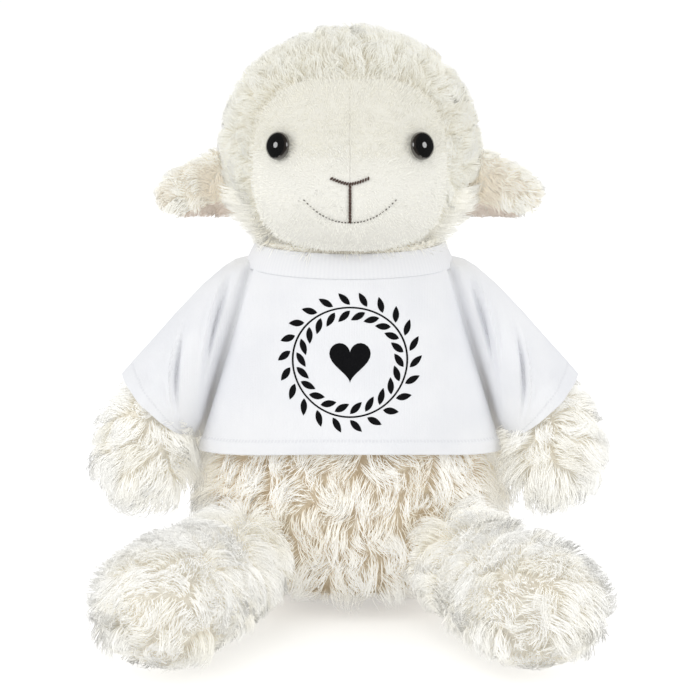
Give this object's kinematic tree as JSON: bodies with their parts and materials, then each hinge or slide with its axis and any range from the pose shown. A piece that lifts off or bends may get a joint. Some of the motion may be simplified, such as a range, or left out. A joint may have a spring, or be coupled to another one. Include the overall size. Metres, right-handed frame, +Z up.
{
  "type": "plush sheep",
  "caption": "Seated plush sheep with floppy ears, stitched face and a T-shirt, whose head, ears, arms, legs and tail move at their seams.",
  "frame": {"origin": "centre of the seat's flat face, on the surface that the toy sits on", "axes": "+Z up, -Y the way the sheep faces, +X towards its own left side"},
  "size_m": [0.243, 0.2317, 0.269],
  "materials": {
    "curly_plush": "long curly cream pile",
    "smooth_plush": "short smooth cream pile",
    "ear_lining": "short beige-pink pile",
    "jersey": "white cotton jersey",
    "fibre_fill": "loose polyester fibre",
    "bag_cloth": "thin bag cloth over plastic pellets",
    "eye_plastic": "polished black plastic",
    "washer_plastic": "plain moulded plastic",
    "thread": "dark brown embroidery thread"
  },
  "bodies": {
    "torso": {"torso_cover": "curly_plush", "torso_fill": "fibre_fill", "seat_pellet_bag": "bag_cloth", "shirt_front": "jersey", "shirt_back": "jersey", "neck_rib": "jersey"},
    "head": {"head_cover": "curly_plush", "head_fill": "fibre_fill", "face_left": "smooth_plush", "face_right": "smooth_plush", "chin_gusset": "smooth_plush", "eye_left": "eye_plastic", "eye_right": "eye_plastic", "eye_washer_left": "washer_plastic", "eye_washer_right": "washer_plastic", "nose_stitches": "thread", "lip_stitches": "thread", "mouth_stitches": "thread"},
    "ear_left": {"ear_left_outer": "curly_plush", "ear_left_lining": "ear_lining"},
    "ear_right": {"ear_right_outer": "curly_plush", "ear_right_lining": "ear_lining"},
    "arm_left": {"arm_left_cover": "curly_plush", "arm_left_fill": "fibre_fill", "sleeve_left": "jersey"},
    "arm_right": {"arm_right_cover": "curly_plush", "arm_right_fill": "fibre_fill", "sleeve_right": "jersey"},
    "leg_left": {"leg_left_cover": "curly_plush", "leg_left_fill": "fibre_fill"},
    "leg_right": {"leg_right_cover": "curly_plush", "leg_right_fill": "fibre_fill"},
    "tail": {"tail": "curly_plush"}
  },
  "joints": [
    {"name": "head_turn", "type": "hinge", "parent": "torso", "child": "head", "pos_m": [0, -0.001, 0.171], "axis": [0, 0, 1], "range_deg": [-35, 35], "stiffness_Nm_per_rad": 0.05},
    {"name": "ear_left_lift", "type": "hinge", "parent": "head", "child": "ear_left", "pos_m": [0.0565, -0.003, 0.2165], "axis": [0, -1, 0], "range_deg": [0, 45]},
    {"name": "ear_right_lift", "type": "hinge", "parent": "head", "child": "ear_right", "pos_m": [-0.0565, -0.003, 0.2165], "axis": [0, 1, 0], "range_deg": [0, 45]},
    {"name": "arm_left_lift", "type": "hinge", "parent": "torso", "child": "arm_left", "pos_m": [0.0465, 0, 0.1605], "axis": [0, -1, 0], "range_deg": [0, 35]},
    {"name": "arm_right_lift", "type": "hinge", "parent": "torso", "child": "arm_right", "pos_m": [-0.0465, 0, 0.1605], "axis": [0, 1, 0], "range_deg": [0, 35]},
    {"name": "leg_left_lift", "type": "hinge", "parent": "torso", "child": "leg_left", "pos_m": [0.05261, -0.06639, 0.068], "axis": [-0.9097, -0.4153, 0], "range_deg": [0, 30]},
    {"name": "leg_right_lift", "type": "hinge", "parent": "torso", "child": "leg_right", "pos_m": [-0.05261, -0.06639, 0.068], "axis": [-0.9097, 0.4153, 0], "range_deg": [0, 30]},
    {"name": "tail_lift", "type": "hinge", "parent": "torso", "child": "tail", "pos_m": [0, 0.0585, 0.076], "axis": [1, 0, 0], "range_deg": [0, 60]}
  ]
}
